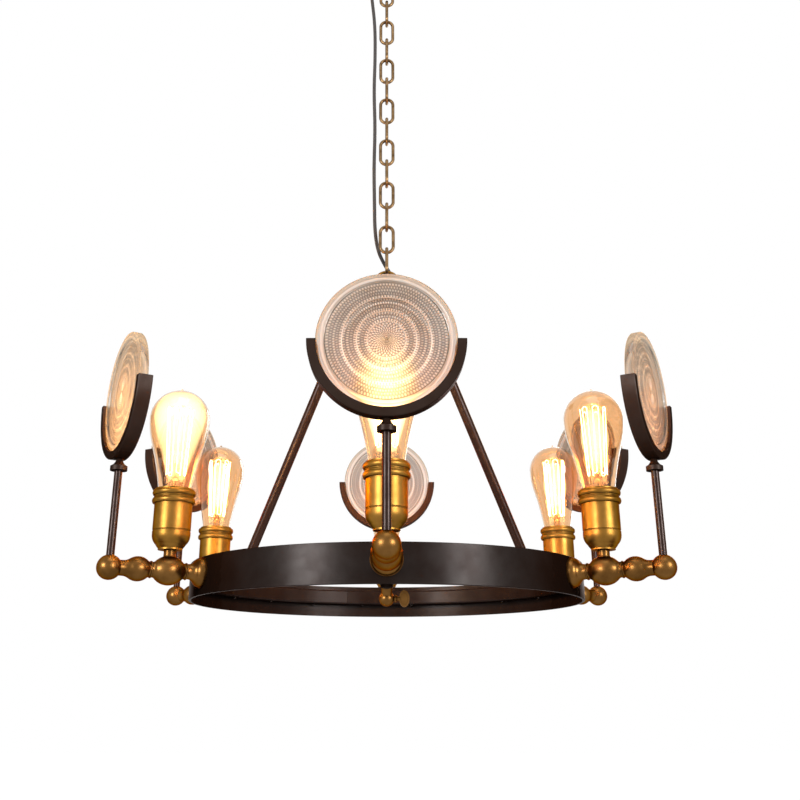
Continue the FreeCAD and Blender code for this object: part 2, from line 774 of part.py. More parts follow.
def holder_shell():
    low, high, brim = holder_foot_z, holder_top_z, holder_brim_z
    groove_low = holder_groove_z - holder_groove_width / 2
    groove_high = holder_groove_z + holder_groove_width / 2
    outer, inner, sleeve = holder_dia / 2, holder_dia / 2 - holder_wall, holder_thread_dia / 2
    foot = holder_foot_dia / 2
    upper_low = high - ring_drop - ring_height
    lower_top = upper_low - ring_space
    dome = backwards((outer, brim), upright_arc((outer, brim), (foot, low + holder_foot_height)))
    dome_in = upright_arc((inner, brim), (foot, low + holder_wall))
    pitch = ring_space / holder_thread_turns
    thread = [(sleeve - holder_thread_depth, lower_top)]
    for turn in range(holder_thread_turns):
        start = lower_top + turn * pitch
        thread.append((sleeve, start + pitch / 2, sleeve - holder_thread_depth, start + pitch))
    shell = turned((0, low), (foot, low), (foot, low + holder_foot_height), dome, (outer, groove_low),
                   (outer - holder_groove, holder_groove_z, outer, groove_high),
                   (outer, lower_top - ring_height), (sleeve, lower_top - ring_height),
                   (sleeve, lower_top), *thread, (sleeve, upper_low), (sleeve, high - ring_drop),
                   (outer, high - ring_drop), (outer, high), (inner, high), (inner, brim), dome_in,
                   (0, low + holder_wall))
    shell = shell.cut(rod(nipple_dia / 2 + press_gap, holder_dome, V(0, 0, low - holder_dome / 2)))
    return placed(shell, lamp_circle_radius)


def holder_ring(top_z):
    inner, outer = holder_thread_dia / 2 + press_gap, ring_dia / 2
    low = top_z - ring_height
    edge = outer - ring_bulge
    ring = turned((inner, low), (edge, low), (outer, low + ring_height / 2, edge, top_z), (inner, top_z))
    return placed(ring, lamp_circle_radius)


def holder_rings():
    upper_top = holder_top_z - ring_drop
    pair = [holder_ring(upper_top), holder_ring(upper_top - ring_height - ring_space)]
    return Part.makeCompound([spun(ring, angle) for angle in arm_angles() for ring in pair])


def insulator():
    """The porcelain liner that the bulb's cap sits in, with a floor for the centre contact."""
    outer = holder_dia / 2 - holder_wall - press_gap
    bore = cap_dia / 2 + loose_gap
    low = holder_brim_z
    high = holder_top_z - insulator_drop
    return placed(turned((0, low), (outer, low), (outer, high), (bore, high), (bore, insulator_floor_z),
                         (0, insulator_floor_z)), lamp_circle_radius)


# Bulbs

def bulb_cap():
    radius = cap_dia / 2
    low = cap_bottom_z
    sleeve = low + contact_height + cap_cone_height
    cap = turned((0, low), (contact_dia / 2, low), (contact_dia / 2, low + contact_height),
                 (radius, sleeve), (radius, cap_top_z), (0, cap_top_z))
    return placed(cap, lamp_circle_radius)


def bulb_corners(inset):
    """Foot, neck, waist, belly and crown of the glass, drawn in by an inset."""
    foot, neck, belly = cap_dia / 2 - inset, neck_dia / 2 - inset, bulb_dia / 2 - inset
    waist = (neck + (belly - neck) * bulb_waist_share, neck_z + (belly_z - neck_z) * bulb_waist_rise_share)
    crown = (0, arm_z + bulb_rise - tip_height - inset)
    hollow = ((neck + waist[0]) / 2 - bulb_hollow, (neck_z + waist[1]) / 2)
    return (foot, cap_top_z), (neck, neck_z), hollow, waist, (belly, belly_z), crown


def crown_arc(belly, crown):
    """The arc over the glass from its belly to its crown, centred on the axis."""
    rise = crown[1] - belly[1]
    radius = (belly[0] ** 2 + rise ** 2) / (2 * rise)
    half = math.atan2(belly[0], radius - rise) / 2
    return (radius * math.sin(half), crown[1] - radius * (1 - math.cos(half))) + crown


def bulb_glass():
    foot, neck, hollow, waist, belly, crown = bulb_corners(0)
    outer = turned((0, cap_top_z), foot, neck, hollow + waist, backwards(belly, upright_arc(belly, waist)),
                   crown_arc(belly, crown))
    foot, neck, hollow, waist, belly, crown_in = bulb_corners(glass_wall)
    inner = turned((0, cap_top_z), foot, neck, hollow + waist, backwards(belly, upright_arc(belly, waist)),
                   crown_arc(belly, crown_in))
    tip_low, tip_shoulder = crown[1] - glass_wall / 2, crown[1] + tip_height - tip_dia / 3
    tip = turned((0, tip_low), (tip_dia / 2, tip_low), (tip_dia / 3, tip_shoulder),
                 upright_arc((tip_dia / 3, tip_shoulder), (0, crown[1] + tip_height)))
    flare, tube = stem_flare_dia / 2, stem_tube_dia / 2
    bend = (tube, cap_top_z + stem_flare_height)
    stem = turned((0, cap_top_z), (flare, cap_top_z), backwards(bend, upright_arc(bend, (flare, cap_top_z))),
                  (tube, stem_top_z - tube), upright_arc((tube, stem_top_z - tube), (0, stem_top_z)))
    return placed(Part.makeCompound([outer.cut(inner).fuse(tip), stem]), lamp_circle_radius)


# Lens stems, yokes and lenses

def lens_stem():
    radius, pin = stem_dia / 2, stem_pin_dia / 2
    low = arm_z + tip_ball_dia / 2 - stem_socket_depth
    shoulder = collar_rim_z - loose_gap
    pin_top = collar_rim_z + yoke_pin_depth - loose_gap
    stem = turned((0, low), (radius, low), (radius, shoulder), (pin, shoulder), (pin, pin_top), (0, pin_top))
    return placed(stem, tip_radius)


def yoke():
    """Half ring with a groove for the lens, and the conical collar under it."""
    half, edge = yoke_width / 2, yoke_edge
    outer = yoke_outer_radius
    inner = lens_radius - yoke_lip
    floor = lens_radius + lens_groove_gap
    groove = lens_rim_thickness / 2 + lens_groove_gap
    section = outline((inner, -half), (outer - edge, -half), (outer, -half + edge), (outer, half - edge),
                      (outer - edge, half), (inner, half), (inner, groove), (floor, groove),
                      (floor, -groove), (inner, -groove))
    ring = section.revolve(ORIGIN, UP, 180)
    ring.rotate(ORIGIN, V(1, 0, 0), 90)
    ring.rotate(ORIGIN, UP, 90)
    ring.rotate(ORIGIN, V(1, 0, 0), ring_turn(ring))
    rim = yoke_rim_dia / 2
    low = collar_rim_z - lens_z
    rim_top = low + yoke_rim_height
    cone_top = -outer + yoke_thickness / 2
    cone_mid = rim_top + yoke_cone_height * yoke_cone_bow_share
    waist = yoke_waist_dia / 2
    cone_end = rim_top + yoke_cone_height
    collar = turned((0, low), (rim, low), (rim, rim_top),
                    (waist + (rim - waist) * yoke_cone_bow_share, cone_mid, waist, cone_end),
                    (waist, cone_top), (0, cone_top))
    pin_hole = rod(stem_pin_dia / 2 + running_gap, yoke_pin_depth, V(0, 0, low))
    groove_disc = rod(floor, 2 * groove, V(-groove, 0, 0), V(1, 0, 0))
    body = ring.fuse(collar).cut([pin_hole, groove_disc])
    return placed(body, tip_radius, 0, lens_z)


def ring_turn(ring):
    """The turn about X, in degrees, that puts the half ring below its centre."""
    return 180 if ring.CenterOfMass.z > 0 else 0


def lens_glass():
    """Pressed lens: a plain rim and stepped, crowned rings, alike on both faces."""
    half_rim = lens_rim_thickness / 2
    rim_r, outer_r, middle_r, eye_r = [share * lens_radius for share in lens_ring_shares]
    floor = lens_floor_thickness / 2
    bulge = floor + lens_dome
    step = lens_step

    def face(side):
        """Half outline of one face, from the axis out to the rim."""
        return [(0, side * (bulge - step)), (eye_r, side * (bulge - step)), (eye_r, side * bulge),
                (middle_r, side * (bulge - step / 2)), (middle_r, side * (bulge - step * 1.5)),
                (outer_r, side * (floor + step * 1.5)), (outer_r, side * (floor + step)),
                (rim_r, side * floor), (rim_r, side * half_rim), (lens_radius, side * half_rim)]

    front = face(1)
    back = list(reversed(face(-1)))
    disc = laid_outwards(turned(front[0], *front[1:], *back))
    return placed(disc, tip_radius, 0, lens_z)


def save(name, shape):
    solids = shape.Solids
    for solid in solids:
        if not solid.isValid() or solid.Volume <= 0:
            print("INVALID", name, solid.Volume)
    if len(solids) == 1:
        shape = solids[0]
    shape.exportStep("parts/%s.step" % name)
    box = shape.BoundBox
    print("%-18s solids %2d  x %.1f %.1f  y %.1f %.1f  z %.1f %.1f" % (
        name, len(solids), box.XMin, box.XMax, box.YMin, box.YMax, box.ZMin, box.ZMax))


def main():
    os.makedirs("parts", exist_ok=True)
    print("overall diameter %.1f" % (2 * tip_radius + tip_ball_dia))
    print("arm z %.2f, hoop z %.2f, lens z %.2f, hub top z %.2f" % (arm_z, hoop_z, lens_z, hub_top_z))
    print("hinges: top bar %.2f, top link's foot %.2f, bottom link's head %.2f, hub bar %.2f" % (
        top_bar_z, top_link_z - link_seat - link_wire_dia / 2,
        bottom_link_z + link_pitch - link_seat - link_wire_dia / 2,
        bottom_link_z - link_seat - link_wire_dia / 2))

    save("ceiling_bracket", ceiling_bracket())
    save("ceiling_canopy", ceiling_canopy())
    save("canopy_collar", canopy_collar())
    save("canopy_loop", canopy_loop())
    save("cord_grip", cord_grip())

    save("chain_top_link", link_at(0))
    save("chain_links", Part.makeCompound([link_at(i) for i in range(1, link_count - 1)]))
    save("chain_bottom_link", link_at(link_count - 1))
    save("supply_cord", cord_tube())

    save("hub_bell", hub_bell())
    save("hub_plate", hub_plate())
    save("hub_loop", hub_loop())
    for name, angle in zip(("strut_front", "strut_right", "strut_left"), strut_angles()):
        save(name, strut(angle))

    save("ring_band", ring_band())
    save("wiring_channel", wiring_channel())
    save("channel_screws", channel_screws())
    save("switch_body", switch_body())
    save("turn_key", turn_key())

    save("arm_locknuts", arm_locknuts())
    save("holder_rings", holder_rings())
    save("holder_insulators", Part.makeCompound([spun(insulator(), angle) for angle in arm_angles()]))
    save("lens_stems", Part.makeCompound([spun(lens_stem(), angle) for angle in arm_angles()]))
    pieces = {"arm": arm(), "holder": holder_shell(), "bulb_cap": bulb_cap(), "bulb_glass": bulb_glass(),
              "yoke": yoke(), "lens": lens_glass()}
    for number, angle in enumerate(arm_angles(), start=1):
        for name, piece in pieces.items():
            save("%s_%d" % (name, number), spun(piece, angle))


main()
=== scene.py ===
import json
import math
from collections import namedtuple

import bpy
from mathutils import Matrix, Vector

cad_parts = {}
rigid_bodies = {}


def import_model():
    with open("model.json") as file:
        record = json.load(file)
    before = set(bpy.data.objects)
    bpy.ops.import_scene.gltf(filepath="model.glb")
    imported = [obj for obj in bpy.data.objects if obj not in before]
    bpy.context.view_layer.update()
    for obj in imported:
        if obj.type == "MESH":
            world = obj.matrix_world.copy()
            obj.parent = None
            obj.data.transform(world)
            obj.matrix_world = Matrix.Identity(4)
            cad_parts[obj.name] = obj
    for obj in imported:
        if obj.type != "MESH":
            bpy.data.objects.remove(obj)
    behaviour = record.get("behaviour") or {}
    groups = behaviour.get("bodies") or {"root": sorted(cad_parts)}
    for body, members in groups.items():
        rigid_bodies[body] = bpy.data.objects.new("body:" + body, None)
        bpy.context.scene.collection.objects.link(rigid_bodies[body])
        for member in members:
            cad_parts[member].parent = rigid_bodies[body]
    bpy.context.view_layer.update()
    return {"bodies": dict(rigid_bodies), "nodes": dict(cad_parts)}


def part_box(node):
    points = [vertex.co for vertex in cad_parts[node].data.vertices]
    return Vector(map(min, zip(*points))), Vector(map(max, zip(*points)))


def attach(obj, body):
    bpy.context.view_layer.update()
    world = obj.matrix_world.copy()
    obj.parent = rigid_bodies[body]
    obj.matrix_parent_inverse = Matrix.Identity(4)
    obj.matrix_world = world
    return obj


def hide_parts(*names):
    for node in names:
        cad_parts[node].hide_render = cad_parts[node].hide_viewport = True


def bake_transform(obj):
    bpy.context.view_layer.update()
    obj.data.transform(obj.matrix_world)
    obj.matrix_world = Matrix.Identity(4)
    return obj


# Metres, in the frame's own axes: +Z up to the ceiling, -Y to the front.
# The frame gives the places; the values below are what it doesn't hold.

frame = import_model()
scene = bpy.context.scene
MM = 0.001

ARM_COUNT = 6

# Camera, found from the hoop's and the arms' places in the photograph
CAMERA_PLACE = (0.0003, -1.0992, -1.0052)
CAMERA_PITCH = 20.1
CAMERA_SENSOR = 36
CAMERA_LENS = 42.72
CAMERA_SHIFT = (0.01625, -0.07625)

# Floor and light
FLOOR_Z = -2.3
FLOOR_SIZE = 40.0
FLOOR_WHITE = 1.06
FLOOR_TONES = (0.86, 0.90)
FLOOR_CLOUD = 1.5
FLOOR_TURN = (0.3, 0.7)
FLOOR_SHADE = 0.25             # share of the floor's own look, with its shadows, near the object
FLOOR_SHADE_REACH = (1.0, 4.0)  # distances over which that share falls to nothing
AMBIENT = 0.30
LAMPS = [
    # name, place, size, watts
    ("left", (-1.5, -1.7, -0.45), 0.7, 37.0),
    ("right", (1.5, -1.6, -0.40), 0.7, 37.0),
    ("top", (0.1, -0.7, 0.9), 1.0, 8.0),
    ("back", (0.9, 1.9, -0.2), 1.0, 12.0),
]
LAMP_TARGET = Vector((0, 0, -0.78))
BULB_LIGHT_RADIUS = 20 * MM
BULB_WATTS = 1.8
BULB_WATTS_OF = {1: 2.4, 6: 4.6}  # where they aren't the usual ones
BULB_COLOUR = (1.0, 0.46, 0.14)
BULB_COLOUR_OF = {6: (1.0, 0.68, 0.30)}

# Supply cord: the route's points, as the frame's cord solid has them
CORD_DIAMETER = 4.6 * MM
CORD_AROUND = 16
CORD_STEP = 1.5 * MM
CORD_FINENESS = 24
CORD_ORDER = 3
CORD_ROUTE = [
    (-0.0240, 0.0000, -0.0360),
    (-0.0240, 0.0000, -0.0540),
    (-0.0215, 0.0015, -0.0840),
    (-0.0165, 0.0035, -0.1320),
    (-0.0160, 0.0010, -0.1880),
    (-0.0175, -0.0025, -0.2460),
    (-0.0155, -0.0020, -0.3030),
    (-0.0170, 0.0015, -0.3610),
    (-0.0160, 0.0040, -0.4150),
    (-0.0155, 0.0055, -0.4520),
    (-0.0115, 0.0105, -0.4785),
    (-0.0030, 0.0155, -0.4955),
    (0.0050, 0.0130, -0.5100),
    (0.0055, 0.0050, -0.5220),
    (0.0000, 0.0000, -0.5310),
    (0.0000, 0.0000, -0.5432),
]
CORD_STRETCHES = [
    # the bodies that the stretch crosses, the heights where the first one stops leading and where
    # the second one leads, and where the stretch ends
    ("canopy", "top_link", -0.044, -0.084, -0.086),
    ("top_link", "chain", -0.088, -0.128, -0.130),
    ("chain", "chain", None, None, -0.448),
    ("chain", "bottom_link", -0.450, -0.492, -0.496),
    ("bottom_link", "frame", -0.498, -0.536, None),
]

# Filament cage, its glass rod and its hooks, with heights above the glass's foot
CAGE_STRANDS = 14
CAGE_LOW = 24 * MM
CAGE_HIGH = 92 * MM
CAGE_LOW_RADIUS = 10.0 * MM
CAGE_HIGH_RADIUS = 13.5 * MM
CAGE_WIRE = 0.34 * MM
HOOK_WIRE = 0.22 * MM
WIRE_FINENESS = 2
HOOK_RISE = 1.6 * MM           # of the filament's bends past the cage's ends
HOOK_ROOT = 3.0                # height of the hooks' roots, in rises
HOOK_BEND = (0.6, 1.9)         # their bends: share of the cage's radius, and height in rises
ROD_AROUND = 20
ROD_RADIUS = 1.5 * MM
ROD_BUTTON = 2.6 * MM          # radius of the rod's two buttons, which hold the hooks
ROD_NECK = 2.0 * MM            # height of half a button
ROD_TAIL = 6.0 * MM
ROD_TOP = (1.6 * MM, 2.2 * MM)

# Light of the filaments, and the haze of it round them
FILAMENT_COLOUR = (1.0, 0.80, 0.46)
FILAMENT_GLOW = 16.0
HAZE_COLOUR = (1.0, 0.87, 0.58)
HAZE = 85.0
HAZE_OF = {1: 120.0, 6: 60.0}  # where it isn't the usual one
HAZE_AROUND = 32
HAZE_STEPS = 16
HAZE_PAST_CAGE = 2.0 * MM
HAZE_MARGIN = 3.0 * MM
HAZE_MARGIN_GROWTH = (0.25, 1.5)  # the margin's share at the foot, and its growth up the cage
WIDE_HAZE_BULBS = (1, 6)       # the front one and the one left of it, whose light fills their glass
WIDE_HAZE = [
    # radius and height, in millimetres
    (0, 16), (9, 18), (12, 28), (16, 42), (20, 55), (24.5, 70), (27.5, 84), (26, 95), (20.5, 104),
    (12, 109.5), (0, 111),
]

# Screw cap
CAP_AROUND = 72
CAP_FOOT = [
    # radius and height of the solder button and of the black glass round it
    (0, 0), (3.2 * MM, 0), (4.4 * MM, 0.8 * MM), (4.6 * MM, 2.0 * MM), (9.0 * MM, 3.6 * MM),
]
CAP_GLASS = (2.1 * MM, 7.0 * MM)  # lowest and highest place of the black glass
CAP_SLEEVE_INSET = 1.4 * MM
CAP_SLEEVE = 8.0 * MM          # where the threaded sleeve begins
CAP_SLEEVE_STEPS = 44
THREAD_PITCH = 3.6 * MM
THREAD_DEPTH = 1.0 * MM
THREAD_CLEARANCE = 0.2 * MM

# Lens: shares are of its radius
LENS_AROUND = 480
LENS_FLOOR_HALF = 2.5 * MM     # half the thickness at the edge of the rings
LENS_DOME = 1.9 * MM           # how much more that is in the middle
LENS_RINGS = [
    # inner and outer radius as shares, dashes around each ring
    (0.270, 0.420, (48, 60, 60)),
    (0.420, 0.630, (80, 80, 96, 96)),
    (0.630, 0.862, (96, 120, 120, 120, 120)),
]
LENS_RING_ROWS = 4
LENS_RIDGE = 0.5 * MM          # step at the foot of each group of rings
# The SHADE values, the dashes' brightness and the rim's colours are the relief's painted light and
# shade, which stand for how it bends the light
LENS_EVEN, LENS_ODD = 1.0, 0.68  # how bright the painted light of the dashes is, in every other ring
LENS_GAP_SHADE = 0.05          # painted shade between the rings
# Painted light on the ridge at the foot of each group of rings
LENS_RIDGE_SHADE = 0.95
LENS_EYE = (15, 46.0)          # spiral arms of the middle, and how fast they wind
LENS_EYE_ROWS = 40
LENS_EYE_WAVE = (-0.3, 2.2)    # foot and slope of the middle's dashes
LENS_EYE_SHADE = 0.6
LENS_RING_WAVE = (0.55, 0.8)
LENS_RING_TURN = 2.4           # each ring's turn against the one before, in radians of its wave
LENS_RELIEF = 0.50 * MM
LENS_SUNK = 0.3                # share of the relief that lies below the face
LENS_SHOULDER_SHADE = 0.3
LENS_RIM = [
    # share of the rim's width, share of the step down to the rings, painted light and shade of the
    # rim
    (0.03, 0.45, 0.2), (0.10, 0.15, 0.4), (0.22, 0.03, 0.6), (0.45, 0.0, 0.85), (0.55, 0.0, 0.4),
    (0.80, 0.03, 0.6), (0.93, 0.18, 0.7), (1.0, 0.51, 0.4),
]

# Pressed glass. A pair is a value seen face-on and at a slant, and its reach is the part of the
# way from one to the other over which it changes.
# The glass's tint from the relief's painted light and shade: light on the crests, shade in the gaps
PRESSED_CRESTS = (0.97, 1.0, 1.0)
PRESSED_GAPS = (0.38, 0.41, 0.42)
PRESSED_TURN = (0.1, 0.9)
PRESSED_ROUGH = 0.28
PRESSED_IOR = 1.47
SLANT_TINT = (1.0, 0.82, 0.58)  # the longer way through the glass
SLANT_TINTING = (0.0, 1.0)
SLANT_REACH = (0.15, 0.85)
STRAIGHT = (0.0, 0.9)          # share of the light that isn't bent
STRAIGHT_REACH = (0.25, 0.50)
GLOSS = (0.03, 0.14)
GLOSS_REACH = (0.2, 0.9)
GLOSS_ROUGH = 0.12
MILK = (0.92, 0.76, 0.56)
MILK_SHARE = 0.13
MILK_GAP = 0.3                 # painted shade of the milk between the dashes
MILK_BACK = 0.55               # share of the milk's light that comes back

# Other surfaces. A cloud or grain is a noise's scale, a turn the two values of it between which
# one colour becomes the other, and a bump its strength and depth.
METAL_CLOUD = 45
METAL_TURN = (0.34, 0.66)
METAL_GRAIN = 900
METAL_BUMP = (0.25, 0.10 * MM)
GLOSS_CLOUD = 2.3              # scale of a metal's uneven gloss, against its colour's
# Darkening of a metal's grooves, from ambient occlusion: part grime, part painted shade
GRIME_AND_SHADE_RAYS = 6
GRIME_AND_SHADE_REACH = (0.25, 0.85)     # how open a groove is where it is all darkened, by grime and painted shade, and where it is clean
PLAIN_CLOUD = 60
PLAIN_TURN = (0.35, 0.65)
PLAIN_GRAIN = 1400
PLAIN_BUMP = (0.3, 0.05 * MM)
GLASS_IOR = 1.45
BULB_WAVES = 90
BULB_BUMP = (0.10, 0.4 * MM)
GLOW_CLOUD = 260
GLOW_TURN = (0.35, 0.65)
GLOW_DIP = 0.8                 # brightness of a filament's duller stretches
WEAVE_LEAN = 35                # degrees, each way
WEAVE_SCALE = 170.0
WEAVE_WOBBLE = 0.4
WEAVE_TURN = (0.05, 0.7)
WEAVE_BUMP = (0.6, 0.25 * MM)
WEAVE_ROUGH = 0.8
WEAVE_SHEEN = 0.3

# Angles, in degrees, over which an edge stays sharp
SHARP_NODE = 30
SHARP_TURNED = 35
SHARP_CAP = 50
SHARP_CORD = 60
SMOOTH = 180

AXIS = 1e-9                    # a radius below this is a point on the axis


# Small helpers

def link(thing):
    scene.collection.objects.link(thing)
    return thing


def middle(node):
    low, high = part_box(node)
    return (low + high) / 2


def turned(radius, angle, height):
    return (radius * math.cos(angle), radius * math.sin(angle), height)


def angles(count):
    return [2 * math.pi * step / count for step in range(count)]


def new_mesh(name, points, faces, material):
    mesh = bpy.data.meshes.new(name)
    mesh.from_pydata(points, [], faces)
    mesh.polygons.foreach_set("use_smooth", [True] * len(mesh.polygons))
    mesh.materials.append(material)
    mesh.update()
    return mesh


def mesh_object(name, points, faces, material, sharp=SMOOTH):
    piece = link(bpy.data.objects.new(name, new_mesh(name, points, faces, material)))
    piece.data.set_sharp_from_angle(angle=math.radians(sharp))
    return piece


def add_row(points, ring, around):
    """Adds a ring's points and gives their numbers. A ring of one point stands for all around."""
    first = len(points)
    points.extend(ring)
    return [first] * around if len(ring) == 1 else list(range(first, first + around))


def bridge(rows):
    """Faces between rings, row by row, with triangles where a ring is one point."""
    faces = []
    for low, high in zip(rows, rows[1:]):
        for step in range(len(low)):
            after = (step + 1) % len(low)
            faces.append(list(dict.fromkeys([low[step], low[after], high[after], high[step]])))
    return faces


def lathe(name, profile, material, around, place, sharp=SHARP_TURNED):
    """A closed piece turned about Z from pairs of radius and height."""
    points, rows = [], []
    for radius, height in profile:
        ring = [turned(radius, angle, height) for angle in angles(around)]
        rows.append(add_row(points, ring if radius > AXIS else [(0, 0, height)], around))
    piece = mesh_object(name, points, bridge(rows), material, sharp)
    piece.location = place
    return piece


def wire(name, lines, radius, material, place, closed=False):
    """A round wire through each list of points."""
    data = bpy.data.curves.new(name, "CURVE")
    data.dimensions = "3D"
    data.bevel_depth = radius
    data.bevel_resolution = WIRE_FINENESS
    data.use_fill_caps = True
    for line in lines:
        spline = data.splines.new("POLY")
        spline.points.add(len(line) - 1)
        for point, spot in zip(spline.points, line):
            point.co = (*spot, 1)
        spline.use_cyclic_u = closed
    data.materials.append(material)
    piece = link(bpy.data.objects.new(name, data))
    piece.location = place
    return piece


# Material helpers

class Shader:
    """The nodes of a new material, or of the world, with short ways to add more."""

    def __init__(self, name, world=False):
        self.owner = (bpy.data.worlds if world else bpy.data.materials).new(name)
        self.owner.use_nodes = True
        self.tree = self.owner.node_tree
        self.tree.nodes.clear()
        self.out = self.add("OutputWorld" if world else "OutputMaterial")

    def add(self, kind, values=None, **settings):
        node = self.tree.nodes.new("ShaderNode" + kind)
        for key, value in settings.items():
            setattr(node, key, value)
        for key, value in (values or {}).items():
            if isinstance(value, bpy.types.NodeSocket):
                self.tree.links.new(value, node.inputs[key])
            else:
                node.inputs[key].default_value = value
        return node

    def here(self):
        return self.add("TexCoord").outputs["Object"]

    def noise(self, scale, detail, rough=0.5):
        node = self.add("TexNoise", {"Vector": self.here(), "Scale": scale, "Detail": detail,
                                     "Roughness": rough})
        return node.outputs["Fac"]

    def ramp(self, factor, turn, *colours):
        """Goes from one colour to the other between the two values of turn."""
        node = self.add("ValToRGB", {"Fac": factor})
        for element, place, colour in zip(node.color_ramp.elements, turn, colours):
            element.position = place
            element.color = (*colour, 1)
        return node.outputs["Color"]

    def span(self, factor, low, high, start=0.3, end=0.7):
        node = self.add("MapRange", {"Value": factor, "From Min": start, "From Max": end,
                                     "To Min": low, "To Max": high})
        return node.outputs["Result"]

    def combine(self, operation, first, second):
        return self.add("Math", {0: first, 1: second}, operation=operation).outputs["Value"]

    def bump(self, height, strength, distance):
        node = self.add("Bump", {"Height": height, "Strength": strength, "Distance": distance})
        return node.outputs["Normal"]

    def tint(self, share, first, second, way="MIX"):
        """Mixes two colours, by a Mix node's inputs 6 and 7 and its output 2."""
        node = self.add("Mix", {"Factor": share, 6: first, 7: (*second, 1)},
                        data_type="RGBA", blend_type=way)
        return node.outputs[2]

    def mix(self, share, first, second):
        return self.add("MixShader", {"Fac": share, 1: first, 2: second}).outputs["Shader"]

    def leave(self, socket, way="Surface"):
        """Ends the tree, and gives its material or world."""
        self.tree.links.new(socket, self.out.inputs[way])
        return self.owner


def metal(name, dark, light, rough, edge=(1, 1, 1), cloud=METAL_CLOUD, grime_and_shade=None, patina=None):
    """Satin metal: cloudy colour and gloss, and a fine grain. rough is the least and the most
    roughness, edge the tint where the metal turns away, grime_and_shade the reach and colour of
    the darkening in its grooves, part grime and part painted shade, and patina the share and colour
    of a dull skin."""
    s = Shader(name)
    colour = s.ramp(s.noise(cloud, 5.0, 0.6), METAL_TURN, dark, light)
    if grime_and_shade:
        reach, dirt_and_shade = grime_and_shade
        # Painted shade and grime: ambient occlusion darkens the grooves towards the given colour
        open_air = s.add("AmbientOcclusion", {"Distance": reach}, samples=GRIME_AND_SHADE_RAYS).outputs["AO"]
        colour = s.tint(s.span(open_air, 1.0, 0.0, *GRIME_AND_SHADE_REACH), colour, dirt_and_shade)
    normal = s.bump(s.noise(METAL_GRAIN, 2.0), *METAL_BUMP)
    gloss = s.span(s.noise(cloud * GLOSS_CLOUD, 4.0), *rough)
    main = s.add("BsdfPrincipled", {"Base Color": colour, "Metallic": 1.0, "Roughness": gloss,
                                    "Specular Tint": (*edge, 1), "Normal": normal}).outputs["BSDF"]
    if patina:
        share, skin = patina
        dull = s.add("BsdfDiffuse", {"Color": (*skin, 1), "Normal": normal}).outputs["BSDF"]
        main = s.mix(share, main, dull)
    return s.leave(main)


def lit_through(s, main, colour):
    """Lets shadow rays pass a glass, so that lamps shine through it."""
    paler = [0.5 + c / 2 for c in colour]
    clear = s.add("BsdfTransparent", {"Color": (*paler, 1)}).outputs["BSDF"]
    shadow = s.add("LightPath").outputs["Is Shadow Ray"]
    return s.leave(s.mix(shadow, main, clear))


def glass(name, colour, rough, uneven=False):
    """Clear or tinted glass, smooth or as uneven as a blown bulb."""
    s = Shader(name)
    values = {"Base Color": (*colour, 1), "Roughness": rough, "IOR": GLASS_IOR,
              "Transmission Weight": 1.0}
    if uneven:
        values["Normal"] = s.bump(s.noise(BULB_WAVES, 2.0), *BULB_BUMP)
    return lit_through(s, s.add("BsdfPrincipled", values).outputs["BSDF"], colour)


def pressed_glass(name):
    """The lenses' glass: its relief scatters what is behind it, and the painted light and shade
    that follow the relief colour it, less so at a slant; a little of it is milky, and its surface
    mirrors."""
    s = Shader(name)
    # The relief's painted light and shade, stored on the lens mesh
    relief = s.add("Attribute", attribute_name="relief").outputs["Fac"]
    slant = s.add("LayerWeight", {"Blend": 0.5}).outputs["Facing"]
    face_on = s.ramp(relief, PRESSED_TURN, PRESSED_GAPS, PRESSED_CRESTS)
    tint = s.tint(s.span(slant, *SLANT_TINTING, *SLANT_REACH), face_on, SLANT_TINT, "MULTIPLY")
    bent = s.add("BsdfRefraction", {"Color": tint, "Roughness": PRESSED_ROUGH,
                                    "IOR": PRESSED_IOR}).outputs["BSDF"]
    straight = s.add("BsdfTransparent", {"Color": tint}).outputs["BSDF"]
    inside = s.mix(s.span(slant, *STRAIGHT, *STRAIGHT_REACH), bent, straight)
    milky = s.ramp(relief, PRESSED_TURN, [c * MILK_GAP for c in MILK], MILK)
    through = s.add("BsdfTranslucent", {"Color": milky}).outputs["BSDF"]
    back = s.add("BsdfDiffuse", {"Color": milky}).outputs["BSDF"]
    main = s.mix(MILK_SHARE, inside, s.mix(MILK_BACK, through, back))
    shine = s.add("BsdfPrincipled", {"Base Color": (1, 1, 1, 1), "Metallic": 1.0,
                                     "Roughness": GLOSS_ROUGH}).outputs["BSDF"]
    main = s.mix(s.span(slant, *GLOSS, *GLOSS_REACH), main, shine)
    return lit_through(s, main, PRESSED_CRESTS)


def glowing(name, colour, strength):
    s = Shader(name)
    warm = s.ramp(s.noise(GLOW_CLOUD, 2.0), GLOW_TURN, [c * GLOW_DIP for c in colour], colour)
    return s.leave(s.add("Emission", {"Color": warm, "Strength": strength}).outputs["Emission"])


def glow_air(name, colour, strength):
    """The haze of light round a lit filament."""
    s = Shader(name)
    haze = s.add("Emission", {"Color": (*colour, 1), "Strength": strength}).outputs["Emission"]
    return s.leave(haze, "Volume")


def plain(name, dark, light, rough):
    """An even surface, such as porcelain or plastic, with faint clouds and a fine grain."""
    s = Shader(name)
    colour = s.ramp(s.noise(PLAIN_CLOUD, 4.0), PLAIN_TURN, dark, light)
    normal = s.bump(s.noise(PLAIN_GRAIN, 2.0), *PLAIN_BUMP)
    return s.leave(s.add("BsdfPrincipled", {"Base Color": colour, "Roughness": rough,
                                            "Normal": normal}).outputs["BSDF"])


